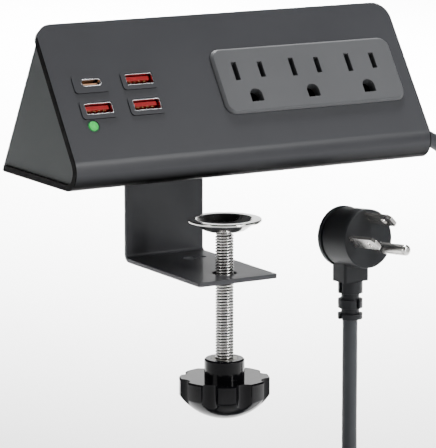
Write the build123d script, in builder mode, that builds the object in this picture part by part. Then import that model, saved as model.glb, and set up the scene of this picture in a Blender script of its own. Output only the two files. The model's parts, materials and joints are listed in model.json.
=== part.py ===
from build123d import *
from math import atan2, cos, pi, radians, sin, tan
import os

os.makedirs("parts", exist_ok=True)

# Desk power strip that clamps to the edge of a desk top.  Millimetres.
# Origin: where the screw's axis meets the underside of the seat pad.
# +X runs along the housing, towards the mains lead.  +Y points to the rear,
# away from the sockets, and +Z points up.

# ---- housing ---------------------------------------------------------------
HOUSING_LEFT = -77.0
HOUSING_RIGHT = 99.0
HOUSING_LENGTH = HOUSING_RIGHT - HOUSING_LEFT
UNDERSIDE = 3.5            # height of the shell's underside over the seat
CREST_Y, CREST_Z = 26.6, 69.3
HEEL_Y = 58.4              # where the rear slope meets the underside
LEAN = 34.3                # lean of the socket face from the vertical, degrees
NOSE_RADIUS = 8.5
SHELL = 2.8                # thickness of the bent front shell
WALL = 2.2                 # thickness of the rear cover
CORNER = 8.0               # rounding of the face's top corners
RIM = 0.9                  # how far the shell stands past the end walls
LIP = 6.5                  # height of the face's top that stands free of the rear cover
GAP = 0.15                 # assembly gap between mouldings

# ---- sockets, measured from the face's top left corner ----------------------
PLATE_LEFT, PLATE_TOP = 78.0, 17.8
PLATE_WIDTH, PLATE_HEIGHT = 91.2, 31.0
PLATE_RISE = 1.7
OUTLET_FIRST, OUTLET_PITCH, OUTLETS = 94.2, 28.6, 3
SLOT_LINE = 29.1
BLADE_SPACING = 12.7
GROUND_DROP = 11.9
USB_COLUMNS = (18.6, 41.5)
USB_ROWS = (28.5, 40.5)
LED_PLACE = (13.8, 48.3)
LED_RADIUS = 2.1

# ---- clamp -----------------------------------------------------------------
SHEET = 2.0                # bracket steel
BRACKET_LEFT, BRACKET_WIDTH = -20.4, 39.0
LEG_FRONT = 49.8           # front face of the bracket's upright leg
PLATE_TOP_Z = -39.0        # upper face of the bracket's lower plate
PLATE_FRONT = -13.5
FLANGE_FRONT = 15.0
PAD = UNDERSIDE - SHEET
SCREW_RADIUS = 4.0
SCREW_CLEARANCE = 0.05
CUP_RADIUS, CUP_RIM_Z = 16.0, -15.4
CUP_SHEET = 1.2
HUB_TOP, HUB_RADIUS = -76.3, 8.7
KNOB_TOP, KNOB_SIDE_END, KNOB_BOTTOM = -84.5, -91.9, -102.4
KNOB_RADIUS = 19.6
KNOB_LOBES = 8

# ---- mains lead ------------------------------------------------------------
CORD = 6.6                 # diameter
FLOOR = -157.0             # surface that the wound length lies on
GLAND_Y, GLAND_Z = 33.0, 12.2
COIL_X, COIL_Y = 1.2, -22.3
COIL_RADII = (30.5, 37.1, 43.7)
COIL_LAYERS = 2
PLUG_X, PLUG_Y = 57.4, -10.6
PLUG_CENTRE_Z = -27.2
PLUG_TURN = 5.0            # the plug's face is turned this far from -Y
PLUG_TILT = 5.0            # and looks up this far
PLUG_RADIUS = 13.1
PLUG_FACE = 12.5           # face of the plug in front of the lead's axis

# ---- frames of reference ---------------------------------------------------
FACE = Plane(
    origin=(HOUSING_LEFT, CREST_Y, CREST_Z),
    x_dir=(1, 0, 0),
    z_dir=(0, -cos(radians(LEAN)), sin(radians(LEAN))),
)
FACE_AXIS = Axis((0, 0, 0), FACE.z_dir)
UP = (Align.CENTER, Align.CENTER, Align.MIN)
SECTION = Plane.YZ.offset(HOUSING_LEFT)


def on_face(depth=0.0):
    """The socket face's plane, pushed into the housing by depth."""
    return FACE.offset(-depth)


def finish(node, name):
    """Labels a finished piece and writes it."""
    node.part.label = name
    node.part.color = Color(0.5, 0.5, 0.55)
    export_step(node.part, f"parts/{name}.step")


def face_point_yz(along, depth):
    """A point of the YZ section: down the face from the crest, then inwards."""
    lean = radians(LEAN)
    y = CREST_Y - along * sin(lean) + depth * cos(lean)
    z = CREST_Z - along * cos(lean) - depth * sin(lean)
    return y, z


outlet_centres = [OUTLET_FIRST + i * OUTLET_PITCH for i in range(OUTLETS)]
plate_centre = (PLATE_LEFT + PLATE_WIDTH / 2, -PLATE_TOP - PLATE_HEIGHT / 2)
face_length = (CREST_Z - UNDERSIDE) / cos(radians(LEAN))
usb_c_place = (USB_COLUMNS[0], -USB_ROWS[0])
usb_a_places = [
    (USB_COLUMNS[1], -USB_ROWS[0]),
    (USB_COLUMNS[0], -USB_ROWS[1]),
    (USB_COLUMNS[1], -USB_ROWS[1]),
]
USB_A_SIZE = (13.0, 5.2)
USB_C_SIZE = (9.6, 3.5)
BEZEL_SIZE = (16.3, 8.4)
BEZEL_OFFSET = (-0.4, -0.5)     # the bezels sit a little left of and below the ports
BEZEL_RISE = 0.5
BEZEL_NECK = (14.6, 6.8)

# ---- front shell: socket face, nose and underside in one bent piece ---------
corner_y, corner_z = face_point_yz(face_length, 0)
cover_crest = face_point_yz(LIP, SHELL + GAP)
slope = atan2(HEEL_Y - cover_crest[0], cover_crest[1] - UNDERSIDE)
sole_rear = HEEL_Y - WALL / cos(slope) - 2 * GAP
SHELL_SCREWS = [(x, y) for x in (HOUSING_LEFT + 8.5, HOUSING_RIGHT - 8.5) for y in (16.5, 44.0)]
BRACKET_SCREWS = [(x, y) for x in (-13.0, 11.2) for y in (21.0, 41.0)]
M3_HEAD, M3_SHANK, M3_HEAD_DEPTH = 3.0, 1.5, 1.6

with BuildPart() as front_shell:
    with BuildSketch(SECTION):
        with BuildLine():
            FilletPolyline(
                (sole_rear, UNDERSIDE), (corner_y, corner_z), (CREST_Y, CREST_Z),
                radius=NOSE_RADIUS,
            )
            offset(amount=SHELL, side=Side.RIGHT)
        make_face()
    extrude(amount=HOUSING_LENGTH)
    crest = front_shell.edges().filter_by(
        lambda e: abs(e.length - SHELL) < 0.01 and e.center().Z > CREST_Z - SHELL
    )
    fillet(crest, CORNER)
    with BuildSketch(on_face(0)):
        with Locations(plate_centre):
            RectangleRounded(PLATE_WIDTH - 2.4, PLATE_HEIGHT - 2.4, 4.0)
        with Locations(usb_c_place, *usb_a_places):
            with Locations(BEZEL_OFFSET):
                RectangleRounded(*BEZEL_NECK, 1.0)
        with Locations((LED_PLACE[0], -LED_PLACE[1])):
            Circle(LED_RADIUS + 0.7)
    extrude(amount=-SHELL * 1.5, mode=Mode.SUBTRACT)
    with BuildSketch(Plane.XY.offset(UNDERSIDE)):
        with Locations(*SHELL_SCREWS):
            Circle(M3_SHANK + 0.2)
        with Locations(*BRACKET_SCREWS):
            Circle(M3_SHANK + 0.2)
    extrude(amount=SHELL, mode=Mode.SUBTRACT)
    with Locations(Plane.XY.offset(UNDERSIDE)):
        with Locations(*SHELL_SCREWS):
            Cone(M3_HEAD + 0.1, M3_SHANK + 0.2, M3_HEAD_DEPTH, align=UP, mode=Mode.SUBTRACT)
finish(front_shell, "front_shell")

# ---- rear cover: sloping back and both end walls ----------------------------
cover_floor = UNDERSIDE + SHELL + GAP
cover_left = HOUSING_LEFT + RIM
cover_length = HOUSING_LENGTH - 2 * RIM
BOSS_RADIUS, BOSS_HEIGHT, PILOT_DEPTH = 3.6, 10.0, 8.6
GLAND_NECK = 4.6           # radius of the gland where it passes through the end wall
CREST_SOLID = 14.0         # height of solid crest over the hollow


def inner_corner(depth, height):
    """Where the face, pushed in by depth, meets the level height."""
    lean = radians(LEAN)
    return face_point_yz((CREST_Z - depth * sin(lean) - height) / cos(lean), depth)


def slope_point(height, inset):
    """A point of the rear slope at a height, moved inwards by inset."""
    return cover_crest[0] + (cover_crest[1] - height) * tan(slope) - inset / cos(slope), height


with BuildPart() as rear_cover:
    with BuildSketch(Plane.YZ.offset(cover_left)):
        with BuildLine():
            Polyline(
                cover_crest,
                (HEEL_Y, UNDERSIDE),
                (sole_rear + GAP, UNDERSIDE),
                (sole_rear + GAP, cover_floor),
                inner_corner(SHELL + GAP, cover_floor),
                close=True,
            )
        make_face()
    extrude(amount=cover_length)
    nose_edge = rear_cover.edges().filter_by(Axis.X).sort_by(Axis.Y)[0]
    fillet(nose_edge, NOSE_RADIUS - SHELL - GAP)
    with BuildSketch(Plane.YZ.offset(cover_left + WALL)):
        with BuildLine():
            Polyline(
                slope_point(CREST_Z - CREST_SOLID, WALL),
                slope_point(UNDERSIDE - 1.0, WALL),
                (corner_y - WALL, UNDERSIDE - 1.0),
                inner_corner(0, CREST_Z - CREST_SOLID),
                close=True,
            )
        make_face()
    extrude(amount=cover_length - 2 * WALL, mode=Mode.SUBTRACT)
    for x, y in SHELL_SCREWS:
        with Locations((x, y, cover_floor)):
            Cylinder(BOSS_RADIUS, BOSS_HEIGHT, align=UP)
            side = -1 if x < 0 else 1
            with Locations((side * 3.4, 0, 0)):
                Box(4.0, 2.4, BOSS_HEIGHT, align=UP)
    with BuildSketch(Plane.XY.offset(UNDERSIDE + SHELL)):
        with Locations(*SHELL_SCREWS):
            Circle(M3_SHANK)
    extrude(amount=PILOT_DEPTH, mode=Mode.SUBTRACT)
    with BuildSketch(Plane.YZ.offset(HOUSING_RIGHT - RIM - WALL - 1)):
        with Locations((GLAND_Y, GLAND_Z)):
            Circle(GLAND_NECK + 0.1)
    extrude(amount=WALL + 2, mode=Mode.SUBTRACT)
finish(rear_cover, "rear_cover")

# ---- outlet plate ----------------------------------------------------------
NEUTRAL_SLOT, HOT_SLOT, SLOT_WIDTH = 8.6, 7.4, 2.3
GROUND_WIDTH, GROUND_HEIGHT = 5.8, 6.0


def outlet_openings(grow=0.0):
    """Neutral, hot and ground openings of every outlet, on the face's plane."""
    for x in outlet_centres:
        with Locations((x - BLADE_SPACING / 2, -SLOT_LINE)):
            Rectangle(SLOT_WIDTH + grow, NEUTRAL_SLOT + grow)
        with Locations((x + BLADE_SPACING / 2, -SLOT_LINE)):
            Rectangle(SLOT_WIDTH + grow, HOT_SLOT + grow)
        with Locations((x, -SLOT_LINE - GROUND_DROP)):
            with Locations((0, -GROUND_HEIGHT / 2 + (GROUND_HEIGHT - GROUND_WIDTH / 2) / 2)):
                Rectangle(GROUND_WIDTH + grow, GROUND_HEIGHT - GROUND_WIDTH / 2 + grow)
            with Locations((0, GROUND_HEIGHT / 2 - GROUND_WIDTH / 2)):
                Circle((GROUND_WIDTH + grow) / 2)


with BuildPart() as outlet_plate:
    with BuildSketch(on_face(-0.02)):
        with Locations(plate_centre):
            RectangleRounded(PLATE_WIDTH, PLATE_HEIGHT, 5.0)
    extrude(amount=PLATE_RISE)
    chamfer(outlet_plate.faces().sort_by(FACE_AXIS)[-1].edges(), 1.1)
    with BuildSketch(on_face(-0.02)):
        with Locations(plate_centre):
            RectangleRounded(PLATE_WIDTH - 2.8, PLATE_HEIGHT - 2.8, 3.8)
    extrude(amount=-SHELL - 0.02)
    with BuildSketch(on_face(SHELL)):
        outlet_openings()
    extrude(amount=SHELL + PLATE_RISE + 1, mode=Mode.SUBTRACT)
finish(outlet_plate, "outlet_plate")

# ---- outlet body, its shutters, springs and contacts -------------------------
LEAD_RADIUS, LEAD_BEND = 1.1, 3.0
LEAD_HOLE_LINE = SLOT_LINE + 14.6
RIGHT_LEADS = [PLATE_LEFT + PLATE_WIDTH - away for away in (8.0, 14.0, 20.0)]
LEFT_LEADS = [PLATE_LEFT + away for away in (8.0, 14.0)]
BODY_WIDTH, BODY_HEIGHT = 88.0, 28.0
BODY_FRONT, SHUTTER_BACK, WEB_BACK, BODY_BACK = SHELL + 0.02, 6.4, 7.4, 17.4
SHUTTER_SIZE = (23.0, 11.4)
SHUTTER_TRAVEL = 4.0
SHUTTER_POCKET = (SHUTTER_SIZE[0] + SHUTTER_TRAVEL + 0.4, SHUTTER_SIZE[1] + 0.4)
SHUTTER_THICK = 2.6

with BuildPart() as outlet_body:
    with BuildSketch(on_face(BODY_FRONT)):
        with Locations(plate_centre):
            RectangleRounded(BODY_WIDTH, BODY_HEIGHT, 2.0)
    extrude(amount=-(BODY_BACK - BODY_FRONT))
    with BuildSketch(on_face(BODY_FRONT)):
        for x in outlet_centres:
            with Locations((x, -SLOT_LINE)):
                Rectangle(*SHUTTER_POCKET)
    extrude(amount=-(SHUTTER_BACK - BODY_FRONT), mode=Mode.SUBTRACT)
    with BuildSketch(on_face(BODY_FRONT)):
        outlet_openings(grow=0.3)
    extrude(amount=-(WEB_BACK - BODY_FRONT), mode=Mode.SUBTRACT)
    with BuildSketch(on_face(WEB_BACK)):
        with Locations(plate_centre):
            Rectangle(BODY_WIDTH - 4, BODY_HEIGHT - 4)
    extrude(amount=-(BODY_BACK - WEB_BACK), mode=Mode.SUBTRACT)
finish(outlet_body, "outlet_body")

with BuildPart() as outlet_back:
    with BuildSketch(on_face(BODY_BACK)):
        with Locations(plate_centre):
            RectangleRounded(BODY_WIDTH, BODY_HEIGHT, 2.0)
    extrude(amount=-1.6)
    with BuildSketch(on_face(BODY_BACK)):
        for x in RIGHT_LEADS + LEFT_LEADS:
            with Locations((x, -LEAD_HOLE_LINE)):
                Circle(LEAD_RADIUS + 0.3)
    extrude(amount=-1.6, mode=Mode.SUBTRACT)
finish(outlet_back, "outlet_back")

for number, x in enumerate(outlet_centres, start=1):
    rest = x - SHUTTER_TRAVEL / 2
    with BuildPart() as shutter:
        with BuildSketch(on_face(BODY_FRONT + 0.3)):
            with Locations((rest, -SLOT_LINE)):
                Rectangle(*SHUTTER_SIZE)
            for slot in (-BLADE_SPACING / 2, BLADE_SPACING / 2):
                with Locations((rest + slot - SHUTTER_TRAVEL / 2, -SLOT_LINE)):
                    Rectangle(SLOT_WIDTH + 0.7, NEUTRAL_SLOT + 0.6, mode=Mode.SUBTRACT)
        extrude(amount=-SHUTTER_THICK)
    finish(shutter, f"shutter_{number}")
    # A bent leaf in the pocket's free end pushes the shutter back.
    spring_left = rest + SHUTTER_SIZE[0] / 2 + 0.05
    with BuildPart() as shutter_spring:
        with BuildSketch(on_face(BODY_FRONT + 0.6)):
            with BuildLine():
                Polyline(
                    (spring_left, -SLOT_LINE + 4.6), (spring_left + 3.2, -SLOT_LINE),
                    (spring_left, -SLOT_LINE - 4.6), (spring_left + 0.45, -SLOT_LINE - 4.6),
                    (spring_left + 3.65, -SLOT_LINE), (spring_left + 0.45, -SLOT_LINE + 4.6),
                    close=True,
                )
            make_face()
        extrude(amount=-1.8)
    finish(shutter_spring, f"shutter_spring_{number}")

CONTACT_SHEET = 0.7
CLIP_FRONT, CLIP_BACK = 8.0, BODY_BACK - 0.1


def contact_bar(clips, strip_line, clip_line, clip_height, opening):
    """A strip behind the outlets with a pair of spring leaves at every clip."""
    with BuildPart() as bar:
        with BuildSketch(on_face(CLIP_BACK)):
            with Locations(((clips[0] + clips[-1]) / 2, -strip_line)):
                Rectangle(clips[-1] - clips[0] + 8.0, 3.0)
            for x in clips:
                with Locations((x, -clip_line)):
                    Rectangle(opening + 2 * CONTACT_SHEET, clip_height)
        extrude(amount=CONTACT_SHEET)
        with BuildSketch(on_face(CLIP_BACK)):
            for x in clips:
                for side in (-1, 1):
                    with Locations((x + side * (opening + CONTACT_SHEET) / 2, -clip_line)):
                        Rectangle(CONTACT_SHEET, clip_height)
        extrude(amount=CLIP_BACK - CLIP_FRONT)
    return bar


neutral_contacts = contact_bar([x - BLADE_SPACING / 2 for x in outlet_centres],
                               SLOT_LINE - 3.6, SLOT_LINE - 0.7, 4.6, 2.0)
finish(neutral_contacts, "neutral_contacts")

hot_contacts = contact_bar([x + BLADE_SPACING / 2 for x in outlet_centres],
                           SLOT_LINE + 3.7, SLOT_LINE + 0.8, 4.6, 2.0)
finish(hot_contacts, "hot_contacts")

ground_contacts = contact_bar(outlet_centres, SLOT_LINE + GROUND_DROP - 1.0,
                              SLOT_LINE + GROUND_DROP, 5.0, 4.6)
finish(ground_contacts, "ground_contacts")

# ---- USB ports --------------------------------------------------------------
BOARD_DEPTH, BOARD_THICK = 15.0, 1.6
USB_SHEET = 0.35
USB_A_INSIDE = (USB_A_SIZE[0] - 2 * USB_SHEET, USB_A_SIZE[1] - 2 * USB_SHEET)
USB_C_INSIDE = (USB_C_SIZE[0] - 2 * 0.45, USB_C_SIZE[1] - 2 * 0.45)

with BuildPart() as usb_bezels:
    for place in [usb_c_place] + usb_a_places:
        opening = USB_C_SIZE if place == usb_c_place else USB_A_SIZE
        centre = (place[0] + BEZEL_OFFSET[0], place[1] + BEZEL_OFFSET[1])
        with BuildSketch(on_face(-0.02)):
            with Locations(centre):
                RectangleRounded(*BEZEL_SIZE, 1.6)
        extrude(amount=BEZEL_RISE)
        with BuildSketch(on_face(-0.02)):
            with Locations(centre):
                RectangleRounded(BEZEL_NECK[0] - 0.4, BEZEL_NECK[1] - 0.4, 0.9)
        extrude(amount=-SHELL)
        with BuildSketch(on_face(SHELL)):
            with Locations(place):
                if place == usb_c_place:
                    SlotOverall(opening[0] + 0.2, opening[1] + 0.2)
                else:
                    RectangleRounded(opening[0] + 0.2, opening[1] + 0.2, 0.5)
        extrude(amount=SHELL + 2, mode=Mode.SUBTRACT)
finish(usb_bezels, "usb_bezels")

with BuildPart() as usb_a_shells:
    with BuildSketch(on_face(BOARD_DEPTH)):
        with Locations(*usb_a_places):
            RectangleRounded(*USB_A_SIZE, 0.6)
            RectangleRounded(*USB_A_INSIDE, 0.3, mode=Mode.SUBTRACT)
    extrude(amount=BOARD_DEPTH + BEZEL_RISE - 0.1)
finish(usb_a_shells, "usb_a_shells")

TONGUE_RAISE = 0.95
with BuildPart() as usb_a_tongues:
    with BuildSketch(on_face(BOARD_DEPTH)):
        with Locations(*usb_a_places):
            RectangleRounded(USB_A_INSIDE[0] - 0.1, USB_A_INSIDE[1] - 0.1, 0.25)
    extrude(amount=3.6)
    with BuildSketch(on_face(BOARD_DEPTH)):
        with Locations(*usb_a_places):
            with Locations((0, TONGUE_RAISE)):
                Rectangle(11.1, 1.84)
    extrude(amount=BOARD_DEPTH - 1.3)
finish(usb_a_tongues, "usb_a_tongues")

with BuildPart() as usb_a_contacts:
    with BuildSketch(on_face(BOARD_DEPTH - 3.7)):
        with Locations(*usb_a_places):
            with Locations((0, TONGUE_RAISE - 0.92 - 0.11)):
                with GridLocations(2.3, 1, 4, 1):
                    Rectangle(1.0, 0.2)
    extrude(amount=BOARD_DEPTH - 3.7 - 2.1)
finish(usb_a_contacts, "usb_a_contacts")

with BuildPart() as usb_c_shell:
    with BuildSketch(on_face(BOARD_DEPTH)):
        with Locations(usb_c_place):
            SlotOverall(*USB_C_SIZE)
            SlotOverall(*USB_C_INSIDE, mode=Mode.SUBTRACT)
    extrude(amount=BOARD_DEPTH + BEZEL_RISE + 0.1)
finish(usb_c_shell, "usb_c_shell")

with BuildPart() as usb_c_tongue:
    with BuildSketch(on_face(BOARD_DEPTH)):
        with Locations(usb_c_place):
            SlotOverall(USB_C_INSIDE[0] - 0.1, USB_C_INSIDE[1] - 0.1)
    extrude(amount=8.0)
    with BuildSketch(on_face(BOARD_DEPTH)):
        with Locations(usb_c_place):
            Rectangle(6.7, 0.8)
    extrude(amount=BOARD_DEPTH - 1.3)
finish(usb_c_tongue, "usb_c_tongue")

with BuildPart() as usb_board:
    with BuildSketch(on_face(BOARD_DEPTH)):
        with Locations((31.0, -36.0)):
            RectangleRounded(50.0, 29.0, 1.5)
            with GridLocations(44.0, 23.0, 2, 2):
                Circle(1.3, mode=Mode.SUBTRACT)
    extrude(amount=-BOARD_THICK)
finish(usb_board, "usb_board")

with BuildPart() as charger_chip:
    with BuildSketch(on_face(BOARD_DEPTH + BOARD_THICK)):
        with Locations((30.0, -34.0)):
            Rectangle(7.0, 7.0)
    extrude(amount=-1.0)
finish(charger_chip, "charger_chip")

with BuildPart() as led_ring:
    with BuildSketch(on_face(SHELL)):
        with Locations((LED_PLACE[0], -LED_PLACE[1])):
            Circle(LED_RADIUS + 0.6)
            Circle(LED_RADIUS + 0.05, mode=Mode.SUBTRACT)
    extrude(amount=SHELL - 0.1)
finish(led_ring, "led_ring")

with BuildPart() as led_lens:
    with BuildSketch(on_face(BOARD_DEPTH - 1.2)):
        with Locations((LED_PLACE[0], -LED_PLACE[1])):
            Circle(LED_RADIUS)
    extrude(amount=BOARD_DEPTH - 1.2 + 0.35)
    fillet(led_lens.faces().sort_by(FACE_AXIS)[-1].edges(), 0.3)
finish(led_lens, "led_lens")

with BuildPart() as led_chip:
    with BuildSketch(on_face(BOARD_DEPTH)):
        with Locations((LED_PLACE[0], -LED_PLACE[1])):
            Rectangle(2.0, 1.25)
    extrude(amount=1.1)
finish(led_chip, "led_chip")

# ---- mains to USB supply, on posts over the sole -----------------------------
SUPPLY_X, SUPPLY_Y, SUPPLY_Z = -39.0, 29.0, UNDERSIDE + SHELL + 4.0
SUPPLY_SIZE = (38.0, 32.0)
with BuildPart() as supply_posts:
    with Locations((SUPPLY_X, SUPPLY_Y, UNDERSIDE + SHELL)):
        with GridLocations(SUPPLY_SIZE[0] - 6, SUPPLY_SIZE[1] - 6, 2, 2):
            Cylinder(2.6, 4.0, align=UP)
finish(supply_posts, "supply_posts")

with BuildPart() as supply_board:
    with Locations((SUPPLY_X, SUPPLY_Y, SUPPLY_Z)):
        Box(*SUPPLY_SIZE, BOARD_THICK, align=UP)
finish(supply_board, "supply_board")

component_z = SUPPLY_Z + BOARD_THICK
with BuildPart() as transformer:
    with Locations((SUPPLY_X - 9, SUPPLY_Y + 1, component_z)):
        Box(15.0, 12.0, 3.0, align=UP)
        with Locations((0, 0, 3.0)):
            Box(15.0, 16.0, 3.6, align=UP)
        with Locations((0, 0, 6.6)):
            Box(10.0, 10.0, 5.4, align=UP)
        with Locations((0, 0, 12.0)):
            Box(15.0, 16.0, 3.0, align=UP)
finish(transformer, "transformer")

with BuildPart() as capacitors:
    for dx, dy, radius, height in ((7.6, 7.0, 5.0, 16.0), (7.6, -7.0, 4.0, 12.0), (14.6, 0.0, 3.2, 11.0)):
        with Locations((SUPPLY_X + dx, SUPPLY_Y + dy, component_z)):
            Cylinder(radius, height, align=UP)
    fillet(capacitors.faces().filter_by(Axis.Z).group_by(Axis.Z)[-1].edges(), 0.6)
finish(capacitors, "capacitors")

# ---- insulated leads inside the housing ----------------------------------------


def lead_entry(x, depth):
    """The axis of a lead hole in the outlet body's back, depth behind the face."""
    y, z = face_point_yz(LEAD_HOLE_LINE, depth)
    return (HOUSING_LEFT + x, y, z)


with BuildPart() as mains_leads:
    for number, x in enumerate(RIGHT_LEADS):
        around = radians(90 + 120 * number)
        start = (HOUSING_RIGHT - RIM - WALL - 2.2,
                 GLAND_Y + 1.5 * cos(around), GLAND_Z + 1.5 * sin(around))
        inside = lead_entry(x, BODY_BACK + 14.0)
        with BuildLine() as path:
            FilletPolyline(
                start, (inside[0] + 1.0, start[1], start[2]),
                inside, lead_entry(x, BODY_BACK + 0.2), radius=LEAD_BEND,
            )
        with BuildSketch(Plane(origin=start, z_dir=(-1, 0, 0))):
            Circle(LEAD_RADIUS)
        sweep(path=path.wires()[0])
finish(mains_leads, "mains_leads")

with BuildPart() as supply_leads:
    for number, x in enumerate(LEFT_LEADS):
        start = (SUPPLY_X + SUPPLY_SIZE[0] / 2 - 2.5, SUPPLY_Y - 6.0 - 5.0 * number,
                 SUPPLY_Z + BOARD_THICK + 1.3)
        inside = lead_entry(x, BODY_BACK + 9.0)
        with BuildLine() as path:
            FilletPolyline(
                start, (inside[0] - 12.0, start[1], start[2]), inside,
                lead_entry(x, BODY_BACK + 0.2), radius=LEAD_BEND,
            )
        with BuildSketch(Plane(origin=start, z_dir=(1, 0, 0))):
            Circle(LEAD_RADIUS)
        sweep(path=path.wires()[0])
finish(supply_leads, "supply_leads")

# ---- bracket and what fastens it ----------------------------------------------
bracket_centre = BRACKET_LEFT + BRACKET_WIDTH / 2
BEND = 1.6                 # inside radius of the sheet's two bends
CLINCH_RADIUS = 5.2
PLATE_HOLES = ((3.5, 35.8, 2.8), (10.1, 35.4, 1.4))
FLANGE_UNDER = UNDERSIDE - SHEET
BEND_Y = LEG_FRONT - BEND
UPPER_BEND_Z, LOWER_BEND_Z = FLANGE_UNDER - BEND, PLATE_TOP_Z + BEND

# One bent sheet, in four nodes that meet face to face: two flats, a leg and its bends.
with BuildPart() as bracket_flange:
    with Locations((bracket_centre, FLANGE_FRONT, FLANGE_UNDER)):
        Box(BRACKET_WIDTH, BEND_Y - FLANGE_FRONT, SHEET, align=(Align.CENTER, Align.MIN, Align.MIN))
    with BuildSketch(Plane.XY.offset(UNDERSIDE)):
        with Locations(*BRACKET_SCREWS):
            Circle(M3_SHANK + 0.2)
    extrude(amount=-SHEET, mode=Mode.SUBTRACT)
    with Locations(Plane.XY.offset(FLANGE_UNDER)):
        with Locations(*BRACKET_SCREWS):
            Cone(M3_HEAD + 0.1, M3_SHANK + 0.2, M3_HEAD_DEPTH, align=UP, mode=Mode.SUBTRACT)
finish(bracket_flange, "bracket_flange")

with BuildPart() as bracket_leg:
    with Locations((bracket_centre, LEG_FRONT, LOWER_BEND_Z)):
        Box(BRACKET_WIDTH, SHEET, UPPER_BEND_Z - LOWER_BEND_Z,
            align=(Align.CENTER, Align.MIN, Align.MIN))
finish(bracket_leg, "bracket_leg")

with BuildPart() as bracket_bends:
    for height, side in ((UPPER_BEND_Z, Align.MIN), (LOWER_BEND_Z, Align.MAX)):
        with BuildSketch(Plane.YZ.offset(BRACKET_LEFT)):
            with Locations((BEND_Y, height)):
                Circle(BEND + SHEET)
                Circle(BEND, mode=Mode.SUBTRACT)
                Rectangle(BEND + SHEET, BEND + SHEET, align=(Align.MIN, side), mode=Mode.INTERSECT)
        extrude(amount=BRACKET_WIDTH)
finish(bracket_bends, "bracket_bends")

with BuildPart() as bracket_plate:
    with Locations((bracket_centre, PLATE_FRONT, PLATE_TOP_Z - SHEET)):
        Box(BRACKET_WIDTH, BEND_Y - PLATE_FRONT, SHEET, align=(Align.CENTER, Align.MIN, Align.MIN))
    fillet(bracket_plate.edges().filter_by(Axis.Z).sort_by(Axis.Y)[:2], 1.2)
    with BuildSketch(Plane.XY.offset(PLATE_TOP_Z)):
        Circle(CLINCH_RADIUS)
        for x, y, radius in PLATE_HOLES:
            with Locations((x, y)):
                Circle(radius)
    extrude(amount=-SHEET, mode=Mode.SUBTRACT)
finish(bracket_plate, "bracket_plate")

with BuildPart() as clinch_nut:
    with BuildSketch(Plane.XY.offset(PLATE_TOP_Z - 1.0)):
        Circle(CLINCH_RADIUS - 0.02)
    extrude(amount=-SHEET + 1.0)
    with BuildSketch(Plane.XY.offset(PLATE_TOP_Z - SHEET)):
        Circle(CLINCH_RADIUS + 1.3)
    extrude(amount=-1.6)
    with BuildSketch(Plane.XY.offset(PLATE_TOP_Z)):
        Circle(SCREW_RADIUS + SCREW_CLEARANCE)
    extrude(amount=-2 * SHEET, mode=Mode.SUBTRACT)
finish(clinch_nut, "clinch_nut")

with BuildPart() as backing_plate:
    with BuildSketch(Plane.XY.offset(UNDERSIDE + SHELL)):
        with Locations((bracket_centre, 31.0)):
            RectangleRounded(BRACKET_WIDTH - 3, 30.0, 2.0)
        with Locations(*BRACKET_SCREWS):
            Circle(M3_SHANK + 0.02, mode=Mode.SUBTRACT)
    extrude(amount=SHEET)
finish(backing_plate, "backing_plate")


def flat_head_screws(places, bottom, length):
    """Countersunk screws whose flat heads lie at the height bottom."""
    for x, y in places:
        with Locations((x, y, bottom)):
            Cone(M3_HEAD, M3_SHANK, M3_HEAD_DEPTH, align=UP)
            Cylinder(M3_SHANK, length, align=UP)
            for turn in (45, 135):
                Box(3.2, 0.6, 0.8, rotation=(0, 0, turn), align=UP, mode=Mode.SUBTRACT)


with BuildPart() as bracket_screws:
    flat_head_screws(BRACKET_SCREWS, UNDERSIDE - SHEET, 7.4)
finish(bracket_screws, "bracket_screws")

with BuildPart() as housing_screws:
    flat_head_screws(SHELL_SCREWS, UNDERSIDE, 10.5)
finish(housing_screws, "housing_screws")

with BuildPart() as seat_pad:
    with BuildSketch():
        with Locations((bracket_centre, (FLANGE_FRONT + LEG_FRONT) / 2 - 1.0)):
            RectangleRounded(BRACKET_WIDTH - 1, LEG_FRONT - FLANGE_FRONT - 3.0, 2.0)
    extrude(amount=PAD)
finish(seat_pad, "seat_pad")

with BuildPart() as housing_feet:
    with BuildSketch():
        for x in (HOUSING_LEFT + 18.0, HOUSING_RIGHT - 18.0):
            for y in (19.5, 47.0):
                with Locations((x, y)):
                    RectangleRounded(12.0, 8.0, 3.0)
    extrude(amount=UNDERSIDE)
    fillet(housing_feet.faces().sort_by(Axis.Z)[:4].edges(), 0.6)
finish(housing_feet, "housing_feet")

# ---- clamp screw, pressure cup and knob ---------------------------------------
NECK_RADIUS, NECK_CLEARANCE = 2.6, 0.08
CUP_FLOOR = CUP_RIM_Z - 4.2
INSERT_RADIUS = 5.6
SCREW_BOTTOM = -96.0
DOME_DEPTH = KNOB_SIDE_END - KNOB_BOTTOM
DOME_RADIUS = (KNOB_RADIUS ** 2 + DOME_DEPTH ** 2) / (2 * DOME_DEPTH)
FLUTE_RADIUS, FLUTE_OUT, FLUTE_START = 4.3, 1.6, 40.4

with BuildPart() as pressure_cup:
    with BuildSketch(Plane.XZ):
        with BuildLine():
            Polyline(
                (NECK_RADIUS + NECK_CLEARANCE, CUP_FLOOR), (5.5, CUP_FLOOR), (10.8, CUP_RIM_Z - 2.1),
                (11.8, CUP_RIM_Z - 0.2), (12.2, CUP_RIM_Z), (CUP_RADIUS, CUP_RIM_Z),
                (CUP_RADIUS, CUP_RIM_Z - CUP_SHEET), (13.0, CUP_RIM_Z - CUP_SHEET - 0.5),
                (11.6, CUP_RIM_Z - 3.2), (6.0, CUP_FLOOR - CUP_SHEET),
                (NECK_RADIUS + NECK_CLEARANCE, CUP_FLOOR - CUP_SHEET),
                close=True,
            )
        make_face()
    revolve(axis=Axis.Z)
finish(pressure_cup, "pressure_cup")

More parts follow.
